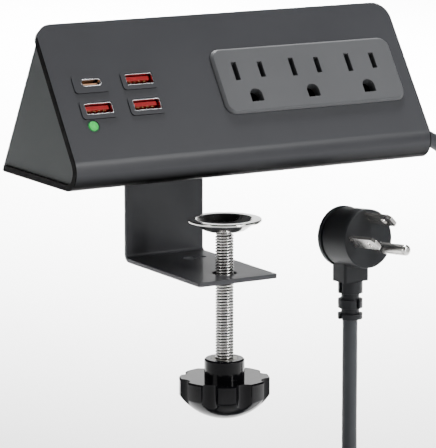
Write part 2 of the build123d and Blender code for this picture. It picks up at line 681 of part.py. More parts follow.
with BuildPart() as clamp_screw:
    with BuildSketch(Plane.XY.offset(SCREW_BOTTOM)):
        Circle(SCREW_RADIUS)
    extrude(amount=CUP_FLOOR - CUP_SHEET - 0.35 - SCREW_BOTTOM)
    with BuildSketch(Plane.XY.offset(SCREW_BOTTOM)):
        Circle(NECK_RADIUS)
    extrude(amount=CUP_FLOOR + 0.3 - SCREW_BOTTOM)
    with BuildSketch(Plane.XY.offset(CUP_FLOOR + 0.3)):
        Circle(NECK_RADIUS + 1.5)
    extrude(amount=1.2)
    fillet(clamp_screw.faces().sort_by(Axis.Z)[-1].edges(), 1.0)
finish(clamp_screw, "clamp_screw")

with BuildPart() as knob:
    with BuildSketch(Plane.XZ):
        with BuildLine():
            Polyline((0, HUB_TOP), (HUB_RADIUS - 0.6, HUB_TOP), (HUB_RADIUS, HUB_TOP - 0.6),
                     (HUB_RADIUS, KNOB_TOP), (KNOB_RADIUS - 0.6, KNOB_TOP),
                     (KNOB_RADIUS, KNOB_TOP - 0.6), (KNOB_RADIUS, KNOB_SIDE_END))
            RadiusArc((KNOB_RADIUS, KNOB_SIDE_END), (0, KNOB_BOTTOM), DOME_RADIUS)
            Line((0, KNOB_BOTTOM), (0, HUB_TOP))
        make_face()
    revolve(axis=Axis.Z)
    with BuildSketch(Plane.XY.offset(KNOB_TOP)):
        with PolarLocations(KNOB_RADIUS + FLUTE_OUT, KNOB_LOBES, start_angle=FLUTE_START):
            Circle(FLUTE_RADIUS)
    extrude(amount=-(KNOB_TOP - KNOB_BOTTOM), mode=Mode.SUBTRACT)
    with BuildSketch(Plane.XY.offset(HUB_TOP)):
        RegularPolygon(INSERT_RADIUS, 6, major_radius=False)
    extrude(amount=-(HUB_TOP - SCREW_BOTTOM), mode=Mode.SUBTRACT)
finish(knob, "knob")

with BuildPart() as knob_insert:
    with BuildSketch(Plane.XY.offset(HUB_TOP)):
        RegularPolygon(INSERT_RADIUS - 0.02, 6, major_radius=False)
        Circle(SCREW_RADIUS + 0.02, mode=Mode.SUBTRACT)
    extrude(amount=-(HUB_TOP - SCREW_BOTTOM))
finish(knob_insert, "knob_insert")


# ---- mains lead ----------------------------------------------------------------
GLAND_FLANGE = 5.7
RELIEF_BASE, RELIEF_TIP = 5.0, 4.2
RELIEF_LENGTH, DROOP, RELIEF_SECTIONS = 22.0, 25.0, 6
end_wall = HOUSING_RIGHT - RIM


def relief_plane(share):
    """Section plane of the drooping sleeve, at a share of its length."""
    angle = radians(DROOP) * share
    bend = RELIEF_LENGTH / radians(DROOP)
    return Plane(
        origin=(end_wall + 2.5 + bend * sin(angle), GLAND_Y, GLAND_Z - bend * (1 - cos(angle))),
        x_dir=(0, 1, 0),
        z_dir=(cos(angle), 0, -sin(angle)),
    )


with BuildPart() as cord_gland:
    with BuildSketch(Plane.XZ.offset(-GLAND_Y)):
        with BuildLine():
            Polyline(
                (end_wall - WALL - 2.0, GLAND_Z + CORD / 2), (end_wall - WALL - 2.0, GLAND_Z + 5.6),
                (end_wall - WALL - 0.1, GLAND_Z + 5.6), (end_wall - WALL - 0.1, GLAND_Z + GLAND_NECK),
                (end_wall + 0.1, GLAND_Z + GLAND_NECK), (end_wall + 0.1, GLAND_Z + GLAND_FLANGE),
                (end_wall + 2.0, GLAND_Z + GLAND_FLANGE), (end_wall + 2.5, GLAND_Z + RELIEF_BASE),
                (end_wall + 2.5, GLAND_Z + CORD / 2),
                close=True,
            )
        make_face()
    revolve(axis=Axis((0, GLAND_Y, GLAND_Z), (1, 0, 0)))
    for step in range(RELIEF_SECTIONS + 1):
        with BuildSketch(relief_plane(step / RELIEF_SECTIONS)):
            Circle(RELIEF_BASE + (RELIEF_TIP - RELIEF_BASE) * step / RELIEF_SECTIONS)
    loft()
finish(cord_gland, "cord_gland")


def tube_along(points, name):
    """A round tube of the lead's diameter along straight runs joined by tangent arcs."""
    runs = [(Vector(*b) - Vector(*a)) for a, b in zip(points, points[1:])]
    turns = [a.get_angle(b) for a, b in zip(runs, runs[1:])]
    radii = [
        0.45 * min(a.length, b.length) / tan(radians(turn) / 2)
        for a, b, turn in zip(runs, runs[1:], turns)
    ]
    print(name, "radii", [round(r, 1) for r in radii], "turns", [round(t, 1) for t in turns])
    with BuildPart() as tube:
        with BuildLine() as route:
            FilletPolyline(*points, radius=radii)
        with BuildSketch(Plane(origin=points[0], z_dir=runs[0])):
            Circle(CORD / 2)
        sweep()
    length = route.wires()[0].length
    section = pi * (CORD / 2) ** 2
    ratio = tube.part.volume / section / length
    print(name, "length", round(length, 1), "volume over section times length", round(ratio, 4))
    finish(tube, name)


CORD_REST = FLOOR + CORD / 2
DROP_ROUTE = [
    (121.9, 33.0, 7.5),
    (135.0, 33.0, 1.4),
    (146.8, 32.6, -12.0),
    (154.8, 31.0, -32.0),
    (158.2, 28.0, -57.0),
    (157.6, 24.5, -84.0),
    (151.8, 21.5, -110.0),
    (139.5, 19.8, -133.5),
    (116.5, 19.6, -147.8),
    (89.0, 20.2, -153.2),
    (62.0, 20.9, CORD_REST),
    (39.0, 21.3, CORD_REST),
    (16.0, 21.4, CORD_REST),
]
RISE_ROUTE = [
    (34.7, -52.1, CORD_REST + CORD),
    (45.8, -31.8, CORD_REST + CORD),
    (53.2, -18.4, -138.3),
    (57.4, -10.6, -122.9),
    (57.5, -10.5, -95.0),
    (57.4, -10.6, -63.4),
]
tube_along(DROP_ROUTE, "cord_drop")
tube_along(RISE_ROUTE, "cord_rise")

with BuildPart() as cord_coil:
    with BuildSketch(Plane.XY.offset(FLOOR)):
        with Locations((COIL_X, COIL_Y)):
            Circle(COIL_RADII[-1] + CORD / 2)
            Circle(COIL_RADII[0] - CORD / 2, mode=Mode.SUBTRACT)
    extrude(amount=COIL_LAYERS * CORD)
    fillet(cord_coil.edges().filter_by(GeomType.CIRCLE), CORD / 2 - 0.2)
finish(cord_coil, "cord_coil")

# Two straps hold the wound turns together.
TIE_ANGLES, TIE_ARC = (150.0, 262.0), 13.0
TIE_SHEET, TIE_SLACK = 0.8, 0.05
wound_width, wound_height = COIL_RADII[-1] - COIL_RADII[0] + CORD, COIL_LAYERS * CORD

with BuildPart() as cord_tie:
    for angle in TIE_ANGLES:
        start = radians(angle - TIE_ARC / 2)
        across = (cos(start), sin(start), 0)
        section = Plane(
            origin=(COIL_X, COIL_Y, FLOOR + wound_height / 2),
            x_dir=across,
            z_dir=(sin(start), -cos(start), 0),
        )
        with BuildSketch(section):
            with Locations(((COIL_RADII[0] + COIL_RADII[-1]) / 2, 0)):
                for gap, mode in ((TIE_SLACK + TIE_SHEET, Mode.ADD), (TIE_SLACK, Mode.SUBTRACT)):
                    RectangleRounded(wound_width + 2 * gap, wound_height + 2 * gap,
                                     CORD / 2 - 0.2 + gap, mode=mode)
        revolve(axis=Axis((COIL_X, COIL_Y, 0), (0, 0, 1)), revolution_arc=TIE_ARC)
finish(cord_tie, "cord_tie")

# ---- plug --------------------------------------------------------------------
turn, tilt = radians(PLUG_TURN), radians(PLUG_TILT)
PLUG = Plane(
    origin=(PLUG_X, PLUG_Y, PLUG_CENTRE_Z),
    x_dir=(cos(turn), sin(turn), 0),
    z_dir=(sin(turn) * cos(tilt), -cos(turn) * cos(tilt), sin(tilt)),
)
PLUG_REAR = -6.6
PRONG_CENTRE = (-4.4, 4.4)
PRONG_TURN = -45.0
PIN_AWAY = 11.9
BLADE_SIZE, BLADE_LENGTH, BLADE_ROOT = (6.35, 1.5), 17.5, 5.0
PIN_RADIUS, PIN_LENGTH = 2.35, 21.5
COLLAR_SIZE, COLLAR_TOP, COLLAR_BOTTOM = (13.2, 9.6), -38.5, -46.4


def prong_places():
    """Centres of the two blades, either side of the pattern's centre, and of the pin."""
    along = radians(PRONG_TURN)
    side = radians(PRONG_TURN + 90)
    half = BLADE_SPACING / 2
    blades = [
        (PRONG_CENTRE[0] + s * half * cos(side), PRONG_CENTRE[1] + s * half * sin(side))
        for s in (-1, 1)
    ]
    pin = (PRONG_CENTRE[0] + PIN_AWAY * cos(along), PRONG_CENTRE[1] + PIN_AWAY * sin(along))
    return blades, pin


blade_places, pin_place = prong_places()

with BuildPart() as plug_blades:
    with BuildSketch(PLUG.offset(PLUG_FACE - BLADE_ROOT)):
        with Locations(*blade_places):
            Rectangle(*BLADE_SIZE, rotation=PRONG_TURN)
    extrude(amount=BLADE_ROOT + BLADE_LENGTH)
    tips = plug_blades.faces().sort_by(Axis((0, 0, 0), PLUG.z_dir))[-2:]
    chamfer(tips.edges().filter_by(lambda e: e.length < 2), 1.4)
    for x, y in blade_places:
        hole = PLUG.offset(PLUG_FACE + 11.7)
        across = Vector(cos(radians(PRONG_TURN + 90)), sin(radians(PRONG_TURN + 90)), 0)
        centre = hole.from_local_coords(Vector(x, y, 0))
        direction = hole.from_local_coords(across) - hole.origin
        with BuildSketch(Plane(origin=centre, z_dir=direction)):
            Circle(1.55)
        extrude(amount=2.0, both=True, mode=Mode.SUBTRACT)
finish(plug_blades, "plug_blades")

with BuildPart() as plug_pin:
    with BuildSketch(PLUG.offset(PLUG_FACE - BLADE_ROOT)):
        with Locations(pin_place):
            Circle(PIN_RADIUS)
    extrude(amount=BLADE_ROOT + PIN_LENGTH)
    fillet(plug_pin.faces().sort_by(Axis((0, 0, 0), PLUG.z_dir))[-1].edges(), 1.6)
finish(plug_pin, "plug_pin")

with BuildPart() as plug_body:
    with BuildSketch(PLUG.offset(PLUG_REAR)):
        Circle(PLUG_RADIUS + 0.2)
    extrude(amount=2.2)
    with BuildSketch(PLUG.offset(PLUG_REAR + 2.2)):
        Circle(PLUG_RADIUS - 1.0)
    extrude(amount=0.9)
    with BuildSketch(PLUG.offset(PLUG_REAR + 3.1)):
        Circle(PLUG_RADIUS - 0.3)
    extrude(amount=PLUG_FACE - PLUG_REAR - 3.1)
    rims = plug_body.faces().sort_by(Axis((0, 0, 0), PLUG.z_dir))
    fillet([rims[0].edges()[0], rims[-1].edges()[0]], 0.5)
    with BuildSketch(Plane.XY.offset(COLLAR_BOTTOM)):
        with Locations(Location((PLUG_X, PLUG_Y), PLUG_TURN)):
            RectangleRounded(*COLLAR_SIZE, 1.2)
    extrude(amount=COLLAR_TOP + 3.5 - COLLAR_BOTTOM)
    with BuildSketch(PLUG.offset(PLUG_FACE - BLADE_ROOT)):
        with Locations(*blade_places):
            Rectangle(*BLADE_SIZE, rotation=PRONG_TURN)
        with Locations(pin_place):
            Circle(PIN_RADIUS)
    extrude(amount=BLADE_ROOT + 1, mode=Mode.SUBTRACT)
finish(plug_body, "plug_body")

RELIEF_WIDE, RELIEF_NECK = 5.4, 4.0
RELIEF_STEPS = (COLLAR_BOTTOM, -51.8, -54.4, -58.4, -60.8, -63.3)
with BuildPart() as plug_relief:
    for number, (top, bottom) in enumerate(zip(RELIEF_STEPS, RELIEF_STEPS[1:])):
        with BuildSketch(Plane.XY.offset(bottom)):
            with Locations((PLUG_X, PLUG_Y)):
                Circle(RELIEF_NECK if number % 2 else RELIEF_WIDE)
        extrude(amount=top - bottom)
finish(plug_relief, "plug_relief")
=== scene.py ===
import json
from math import cos, pi, radians, sin

import bmesh
import bpy
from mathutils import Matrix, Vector


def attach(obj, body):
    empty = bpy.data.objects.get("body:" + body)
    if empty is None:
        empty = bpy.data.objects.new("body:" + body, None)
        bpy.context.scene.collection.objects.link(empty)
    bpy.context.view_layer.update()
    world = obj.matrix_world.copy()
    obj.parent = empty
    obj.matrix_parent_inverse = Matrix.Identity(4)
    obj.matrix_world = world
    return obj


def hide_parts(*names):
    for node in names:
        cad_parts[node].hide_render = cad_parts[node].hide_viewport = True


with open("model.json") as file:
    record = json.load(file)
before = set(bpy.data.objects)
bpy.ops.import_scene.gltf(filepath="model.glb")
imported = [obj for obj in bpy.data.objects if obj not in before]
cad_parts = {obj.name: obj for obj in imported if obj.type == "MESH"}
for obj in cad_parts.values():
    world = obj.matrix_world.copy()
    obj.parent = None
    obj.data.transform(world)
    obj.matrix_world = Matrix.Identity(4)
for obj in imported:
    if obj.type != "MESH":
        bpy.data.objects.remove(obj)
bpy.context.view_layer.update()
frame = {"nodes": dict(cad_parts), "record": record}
nodes = frame["nodes"]

# Metres.  The clamp's axis is the frame's Z axis and the desk top's surface is z = 0.
# +X runs along the housing towards the mains lead, and the sockets look towards -Y.
MM = 0.001
FLOOR = -0.1579
LEAN = radians(34.3)
HOUSING_LEFT, HOUSING_RIGHT, CREST_Y, CREST_Z = -0.077, 0.099, 0.0266, 0.0693

# ---- camera ------------------------------------------------------------------
VIEW_AZIMUTH, VIEW_ELEVATION = radians(30.58), radians(10.62)
VIEW_DISTANCE, LENS = 1.2823, 239.9
CLIP_END = 50
TARGET = Vector((0.0023, 0.0093, -0.0195))


def add_object(name, data):
    """A new object in the scene."""
    item = bpy.data.objects.new(name, data)
    bpy.context.scene.collection.objects.link(item)
    return item


def look_along(direction):
    """Angles for a camera or a light that looks along a direction."""
    return direction.to_track_quat("-Z", "Y").to_euler()


def make_camera():
    data = bpy.data.cameras.new("camera")
    data.lens = LENS
    data.clip_end = CLIP_END
    camera = add_object("camera", data)
    back = Vector((
        -sin(VIEW_AZIMUTH) * cos(VIEW_ELEVATION),
        -cos(VIEW_AZIMUTH) * cos(VIEW_ELEVATION),
        sin(VIEW_ELEVATION),
    ))
    camera.location = TARGET + back * VIEW_DISTANCE
    camera.rotation_euler = look_along(-back)
    bpy.context.scene.camera = camera


make_camera()

# ---- materials ---------------------------------------------------------------
# Every finish has a slow mottle in colour and roughness and a fine relief: colour,
# metallic, roughness, scale of the mottle, how far the roughness varies, scale of
# the grain, and the grain's depth in metres.
FINISHES = {
    "shell_plastic": ((0.034, 0.035, 0.040), 0, 0.38, 22, 0.05, 2600, 1.6e-5),
    "cover_plastic": ((0.062, 0.068, 0.068), 0, 0.50, 22, 0.05, 2600, 1.6e-5),
    "outlet_plastic": ((0.090, 0.092, 0.097), 0, 0.44, 30, 0.05, 3200, 1.2e-5),
    "inner_plastic": ((0.004, 0.004, 0.004), 0, 0.60, 60, 0.05, 2000, 1.5e-5),
    "shutter_plastic": ((0.003, 0.003, 0.003), 0, 0.65, 60, 0.05, 2000, 1.5e-5),
    "spring_steel": ((0.52, 0.52, 0.54), 1, 0.32, 90, 0.08, 5000, 6e-6),
    "contact_brass": ((0.72, 0.54, 0.26), 1, 0.28, 120, 0.08, 4000, 6e-6),
    "usb_steel": ((0.80, 0.80, 0.82), 1, 0.20, 160, 0.08, 6000, 4e-6),
    "usb_tongue_red": ((0.36, 0.005, 0.007), 0, 0.34, 200, 0.05, 5000, 5e-6),
    "contact_gold": ((0.86, 0.64, 0.28), 1, 0.25, 200, 0.05, 6000, 3e-6),
    "usb_c_tongue": ((0.62, 0.30, 0.14), 0, 0.35, 200, 0.05, 5000, 5e-6),
    "circuit_board": ((0.02, 0.13, 0.05), 0, 0.35, 150, 0.10, 1800, 1e-5),
    "led_ring": ((0.012, 0.085, 0.035), 0, 0.35, 200, 0.05, 5000, 5e-6),
    "transformer_core": ((0.42, 0.30, 0.07), 0, 0.50, 120, 0.08, 1500, 2e-5),
    "capacitor_can": ((0.03, 0.04, 0.09), 0, 0.30, 120, 0.08, 1500, 1e-5),
    "lead_insulation": ((0.05, 0.05, 0.05), 0, 0.40, 120, 0.06, 2500, 1e-5),
    "bracket_coat": ((0.058, 0.059, 0.064), 0, 0.40, 40, 0.05, 1300, 1.6e-5),
    "zinc_steel": ((0.50, 0.49, 0.45), 1, 0.36, 110, 0.10, 4500, 6e-6),
    "pad_rubber": ((0.018, 0.018, 0.019), 0, 0.80, 70, 0.06, 1600, 3e-5),
    "chrome_steel": ((0.88, 0.87, 0.85), 1, 0.13, 80, 0.05, 5200, 2e-6),
    "knob_plastic": ((0.003, 0.003, 0.004), 0, 0.16, 60, 0.05, 900, 5e-6),
    "gland_rubber": ((0.020, 0.021, 0.023), 0, 0.58, 70, 0.06, 1800, 2e-5),
    "cord_jacket": ((0.033, 0.036, 0.041), 0, 0.50, 40, 0.07, 1500, 2e-5),
    "tie_fabric": ((0.010, 0.010, 0.011), 0, 0.95, 80, 0.04, 1100, 2e-4),
    "plug_plastic": ((0.015, 0.016, 0.018), 0, 0.46, 60, 0.06, 2200, 1.8e-5),
    "plug_metal": ((0.86, 0.84, 0.81), 1, 0.26, 120, 0.04, 5000, 2e-6),
}
# Weight of a clear coat, and strength of the reflection, where they aren't the usual.
COATED = {"knob_plastic": 0.15, "bracket_coat": 0.15, "capacitor_can": 0.4, "circuit_board": 0.5}
SHEEN = {
    "shell_plastic": 0.32, "cover_plastic": 0.15, "outlet_plastic": 0.28, "inner_plastic": 0.1,
    "shutter_plastic": 0.1, "usb_tongue_red": 0.25, "bracket_coat": 0.12, "knob_plastic": 0.12,
    "gland_rubber": 0.2, "cord_jacket": 0.3, "plug_plastic": 0.2,
}
USUAL_SHEEN, COAT_ROUGHNESS = 0.5, 0.08
MOTTLE_AMOUNT, MOTTLE_DETAIL, GRAIN_DETAIL = 0.05, 4, 2
# Finishes with a dark rim on the housing's ends and painted shade on its underside, and those
# with painted shade that deepens behind the socket face.  Chrome steel has painted shade
# near the axis, in the root of the clamp screw's thread.
DARK_RIMS_AND_SHADE = ("shell_plastic", "cover_plastic")
SHADED_IN_SOCKETS = ("usb_tongue_red", "usb_c_tongue", "contact_gold")
RIM_AND_SHADE_DARK, RIM_AND_SHADE_SHEEN = (0.002, 0.002, 0.002), 0.02
SOCKET_SHADE = (0.003, 0.002, 0.002)
ROOT_SHADE = (0.02, 0.02, 0.02)
END_DEPTH = (0.0005, 0.0004)          # in from the housing's end
UNDERSIDE_SHADE_NORMAL = (-0.12, -0.70)         # the surface normal's height
SOCKET_DEPTH = (0.0035, 0.0060)       # behind the socket face
ROOT_RADIUS = (0.00335, 0.0037)
materials = {}


def add(tree, kind, **values):
    """A shader node with constant values on its sockets."""
    node = tree.nodes.new(kind)
    for socket, value in values.items():
        node.inputs[socket.replace("_", " ")].default_value = value
    return node


def blank(name):
    """A material with only an output and a shader."""
    finish = bpy.data.materials.new(name)
    finish.use_nodes = True
    tree = finish.node_tree
    tree.nodes.clear()
    output = tree.nodes.new("ShaderNodeOutputMaterial")
    shader = tree.nodes.new("ShaderNodeBsdfPrincipled")
    tree.links.new(shader.outputs["BSDF"], output.inputs["Surface"])
    return finish, tree, shader


def piece_space(tree):
    """The place of a shaded point in the piece's own space."""
    return tree.nodes.new("ShaderNodeTexCoord").outputs["Object"]


def noise(tree, scale, detail):
    """Three-dimensional noise in the piece's own space."""
    cloud = add(tree, "ShaderNodeTexNoise", Scale=scale, Detail=detail)
    tree.links.new(piece_space(tree), cloud.inputs["Vector"])
    return cloud.outputs["Fac"]


def worked(tree, kind, operation, source, second=None):
    """A Math or Vector Math node on one source, with a fixed second value if it has one."""
    node = tree.nodes.new(kind)
    node.operation = operation
    tree.links.new(source, node.inputs[0])
    if second is not None:
        node.inputs[1].default_value = second
    return node


def remapped(tree, source, **ends):
    """A value stretched from one span to another, and held at its ends."""
    remap = add(tree, "ShaderNodeMapRange", **ends)
    tree.links.new(source, remap.inputs["Value"])
    return remap.outputs["Result"]


def spread(tree, source, low, high):
    """Stretches a noise between two values."""
    return remapped(tree, source, From_Min=0.3, From_Max=0.7, To_Min=low, To_Max=high)


def mixed(tree, share):
    """A mix of two colours: the mix's output and its two colour inputs."""
    mix = tree.nodes.new("ShaderNodeMix")
    mix.data_type = "RGBA"
    tree.links.new(share, mix.inputs[0])
    first, second = [i for i in mix.inputs if i.type == "RGBA"]
    return [o for o in mix.outputs if o.type == "RGBA"][0], first, second


def tinted(tree, source, colour, amount):
    """The colour, a little lighter and darker along a noise."""
    result, dark, light = mixed(tree, source)
    dark.default_value = (*[c * (1 - amount) for c in colour], 1)
    light.default_value = (*[c * (1 + amount) for c in colour], 1)
    return result


def darkened(tree, colour, mask, dark):
    """The colour, and a dark one where the mask is one."""
    result, light, low = mixed(tree, mask)
    tree.links.new(colour, light)
    low.default_value = (*dark, 1)
    return result


def relief(tree, shader, source, depth):
    """A fine relief from a noise, of a depth in metres."""
    bump = add(tree, "ShaderNodeBump", Strength=1.0, Distance=depth)
    tree.links.new(source, bump.inputs["Height"])
    tree.links.new(bump.outputs["Normal"], shader.inputs["Normal"])


def coordinate(tree, vector, axis="Z"):
    """One coordinate of a vector."""
    split = tree.nodes.new("ShaderNodeSeparateXYZ")
    tree.links.new(vector, split.inputs["Vector"])
    return split.outputs[axis]


def end_mask(tree):
    """One at the housing's two ends, on the outermost half millimetre, and nought between."""
    across = coordinate(tree, piece_space(tree), "X")
    middle = (HOUSING_LEFT + HOUSING_RIGHT) / 2
    away = worked(tree, "ShaderNodeMath", "SUBTRACT", across, middle)
    far = worked(tree, "ShaderNodeMath", "ABSOLUTE", away.outputs["Value"])
    half = (HOUSING_RIGHT - HOUSING_LEFT) / 2
    return remapped(
        tree, far.outputs["Value"], From_Min=half - END_DEPTH[0], From_Max=half - END_DEPTH[1]
    )


def underside_shade_mask(tree):
    """Painted shade: nought on surfaces that look up or sideways, and one on those that look down.
    """
    normal = tree.nodes.new("ShaderNodeNewGeometry").outputs["Normal"]
    low, high = UNDERSIDE_SHADE_NORMAL
    return remapped(tree, coordinate(tree, normal), From_Min=low, From_Max=high)


def socket_shade_mask(tree):
    """Painted shade in the sockets: nought near the socket face, and one far behind it."""
    outwards = (0, -cos(LEAN), sin(LEAN))
    along = worked(tree, "ShaderNodeVectorMath", "DOT_PRODUCT", piece_space(tree), outwards)
    surface = CREST_Z * sin(LEAN) - CREST_Y * cos(LEAN)
    near, far = SOCKET_DEPTH
    return remapped(
        tree, along.outputs["Value"], From_Min=surface - near, From_Max=surface - far
    )


def thread_root_shade_mask(tree):
    """Painted shade: one at the root of the clamp screw's thread, and nought at its crest and
    beyond.
    """
    flat = worked(tree, "ShaderNodeVectorMath", "MULTIPLY", piece_space(tree), (1, 1, 0))
    away = worked(tree, "ShaderNodeVectorMath", "LENGTH", flat.outputs["Vector"])
    root, crest = ROOT_RADIUS
    return remapped(
        tree, away.outputs["Value"], From_Min=root, From_Max=crest, To_Min=1, To_Max=0
    )


def make_finish(slot):
    colour, metallic, roughness, mottle, varies, grain, depth = FINISHES[slot]
    finish, tree, shader = blank(slot)
    patches = noise(tree, mottle, MOTTLE_DETAIL)
    colour = tinted(tree, spread(tree, patches, 0, 1), colour, MOTTLE_AMOUNT)
    if slot in DARK_RIMS_AND_SHADE:
        # Dark rims on the housing's ends, and painted shade on its underside, where the reflection
        # is turned down as well.
        either = worked(tree, "ShaderNodeMath", "MAXIMUM", end_mask(tree))
        tree.links.new(underside_shade_mask(tree), either.inputs[1])
        ends = either.outputs["Value"]
        colour = darkened(tree, colour, ends, RIM_AND_SHADE_DARK)
        gloss = remapped(tree, ends, To_Min=SHEEN[slot], To_Max=RIM_AND_SHADE_SHEEN)
        tree.links.new(gloss, shader.inputs["Specular IOR Level"])
    if slot in SHADED_IN_SOCKETS:
        # Painted shade that deepens behind the socket face.
        colour = darkened(tree, colour, socket_shade_mask(tree), SOCKET_SHADE)
    if slot == "chrome_steel":
        # Painted shade near the axis, in the root of the thread.
        colour = darkened(tree, colour, thread_root_shade_mask(tree), ROOT_SHADE)
    tree.links.new(colour, shader.inputs["Base Color"])
    tree.links.new(
        spread(tree, patches, roughness - varies / 2, roughness + varies / 2),
        shader.inputs["Roughness"],
    )
    relief(tree, shader, noise(tree, grain, GRAIN_DETAIL), depth)
    shader.inputs["Metallic"].default_value = metallic
    shader.inputs["Specular IOR Level"].default_value = SHEEN.get(slot, USUAL_SHEEN)
    shader.inputs["Coat Weight"].default_value = COATED.get(slot, 0)
    shader.inputs["Coat Roughness"].default_value = COAT_ROUGHNESS
    return finish


def make_lamp_finish():
    """The lit indicator: a green that glows a little, with a fine mottle."""
    finish, tree, shader = blank("led_green")
    glow = spread(tree, noise(tree, 900, 2), 0, 1)
    colour = tinted(tree, glow, (0.015, 0.50, 0.07), 0.15)
    tree.links.new(colour, shader.inputs["Base Color"])
    tree.links.new(colour, shader.inputs["Emission Color"])
    shader.inputs["Emission Strength"].default_value = 0.4
    shader.inputs["Roughness"].default_value = 0.25
    return finish


def finish_for(slot):
    if slot not in materials:
        materials[slot] = make_lamp_finish() if slot == "led_green" else make_finish(slot)
    return materials[slot]


def dress(item, slot):
    item.data.materials.clear()
    item.data.materials.append(finish_for(slot))


# ---- pieces --------------------------------------------------------------------
BEVEL_FROM = radians(38)


def settle(piece, body, slot, replaces=()):
    """A piece rides on a CAD body, takes a slot's finish and stands for CAD nodes."""
    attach(piece, body)
    if replaces:
        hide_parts(*replaces)
    dress(piece, slot)
    return piece


def piece_from(bm, name, body, slot, replaces=(), bevel=0.0, weighted=True):
    """Turns a bmesh into a smooth-shaded piece, with rounded edges where bevel isn't nought."""
    bmesh.ops.recalc_face_normals(bm, faces=bm.faces)
    mesh = bpy.data.meshes.new(name)
    bm.to_mesh(mesh)
    bm.free()
    piece = add_object(name, mesh)
    for polygon in mesh.polygons:
        polygon.use_smooth = True
    settle(piece, body, slot, replaces)
    if bevel:
        add_bevel(piece, bevel)
    if weighted:
        add_weighted(piece)
    return piece


def add_bevel(item, width):
    """Rounds the edges sharper than BEVEL_FROM."""
    bevel = item.modifiers.new("edges", "BEVEL")
    bevel.width = width
    bevel.segments = 2
    bevel.limit_method = "ANGLE"
    bevel.angle_limit = BEVEL_FROM
    bevel.use_clamp_overlap = True


def add_weighted(item):
    weighted = item.modifiers.new("shading", "WEIGHTED_NORMAL")
    weighted.keep_sharp = True


def turned(bm, outline, centre=(0, 0), steps=96, closed=True):
    """Turns an outline of (radius, height) about a vertical axis."""
    rows = []
    for radius, height in outline:
        if radius == 0:
            rows.append([bm.verts.new((*centre, height))])
            continue
        rows.append([
            bm.verts.new((centre[0] + radius * cos(a), centre[1] + radius * sin(a), height))
            for a in [2 * pi * i / steps for i in range(steps)]
        ])
    pairs = list(zip(rows, rows[1:]))
    if closed:
        pairs.append((rows[-1], rows[0]))
    for low, high in pairs:
        for i in range(steps):
            j = (i + 1) % steps
            # On the axis a row is one vertex, which counts once as a corner.
            corners = [row[k % len(row)] for row, k in ((low, i), (low, j), (high, j), (high, i))]
            bm.faces.new(dict.fromkeys(corners))


def join_rings(bm, low, high):
    """Faces between two closed rings of vertices."""
    count = len(low)
    for i in range(count):
        j = (i + 1) % count
        bm.faces.new((low[i], low[j], high[j], high[i]))


def in_mm(points):
    """An outline given in millimetres, in metres."""
    return [(a * MM, b * MM) for a, b in points]


# ---- bracket: one bent sheet ---------------------------------------------------
SHEET = 0.002
BRACKET_LEFT, BRACKET_RIGHT = -0.0204, 0.0186
FLANGE_FRONT, LEG_BACK = 0.015, 0.0518
FLANGE_TOP, PLATE_BOTTOM = 0.0035, -0.041
PLATE_FRONT = -0.0135
BEND = 0.0036              # outside radius of the two bends
BEND_STEPS = 8
CORNER = 0.0012            # cut corner of the lower plate, in two steps
CORNER_STEP = 0.3 * CORNER
BRACKET_EDGE = 0.00035
HOLE_STEPS = 32
SCREW_HOLES = [(x, y, 0.0017) for x in (-0.013, 0.0112) for y in (0.021, 0.041)]
PLATE_HOLES = [(0, 0, 0.0052), (0.0035, 0.0358, 0.0028), (0.0101, 0.0354, 0.0014)]


def flat_sheet(bm, outline, holes, height):
    """A level face with round holes."""
    edges = []
    rings = [outline] + [
        [(x + r * cos(a), y + r * sin(a))
         for a in [2 * pi * i / HOLE_STEPS for i in range(HOLE_STEPS)]]
        for x, y, r in holes
    ]
    for ring in rings:
        verts = [bm.verts.new((x, y, height)) for x, y in ring]
        edges += [bm.edges.new(pair) for pair in zip(verts, verts[1:] + verts[:1])]
    bmesh.ops.triangle_fill(bm, use_beauty=True, use_dissolve=False, edges=edges)


def make_bracket():
    """Flange and plate, joined by the bends and the leg, as one face that is then thickened."""
    bm = bmesh.new()
    bend_y = LEG_BACK - BEND
    flange = [(BRACKET_LEFT, FLANGE_FRONT), (BRACKET_RIGHT, FLANGE_FRONT),
              (BRACKET_RIGHT, bend_y), (BRACKET_LEFT, bend_y)]
    plate = [
        (BRACKET_LEFT, bend_y),
        (BRACKET_LEFT, PLATE_FRONT + CORNER),
        (BRACKET_LEFT + CORNER_STEP, PLATE_FRONT + CORNER_STEP),
        (BRACKET_LEFT + CORNER, PLATE_FRONT),
        (BRACKET_RIGHT - CORNER, PLATE_FRONT),
        (BRACKET_RIGHT - CORNER_STEP, PLATE_FRONT + CORNER_STEP),
        (BRACKET_RIGHT, PLATE_FRONT + CORNER),
        (BRACKET_RIGHT, bend_y),
    ]
    flat_sheet(bm, flange, SCREW_HOLES, FLANGE_TOP)
    flat_sheet(bm, plate, PLATE_HOLES, PLATE_BOTTOM)
    profile = []
    for centre_z, first in ((FLANGE_TOP - BEND, pi / 2), (PLATE_BOTTOM + BEND, 0)):
        for step in range(BEND_STEPS + 1):
            angle = first - pi / 2 * step / BEND_STEPS
            profile.append((bend_y + BEND * cos(angle), centre_z + BEND * sin(angle)))
    sides = (BRACKET_LEFT, BRACKET_RIGHT)
    rows = [[bm.verts.new((x, y, z)) for x in sides] for y, z in profile]
    for (a, b), (c, d) in zip(rows, rows[1:]):
        bm.faces.new((a, b, d, c))
    bmesh.ops.remove_doubles(bm, verts=bm.verts, dist=1e-6)
    bracket = piece_from(
        bm, "bracket_sheet", "housing", "bracket_coat",
        ("bracket_flange", "bracket_leg", "bracket_bends", "bracket_plate"), weighted=False,
    )
    thick = bracket.modifiers.new("thickness", "SOLIDIFY")
    thick.thickness = SHEET
    thick.offset = -1
    thick.use_even_offset = True
    add_bevel(bracket, BRACKET_EDGE)
    add_weighted(bracket)


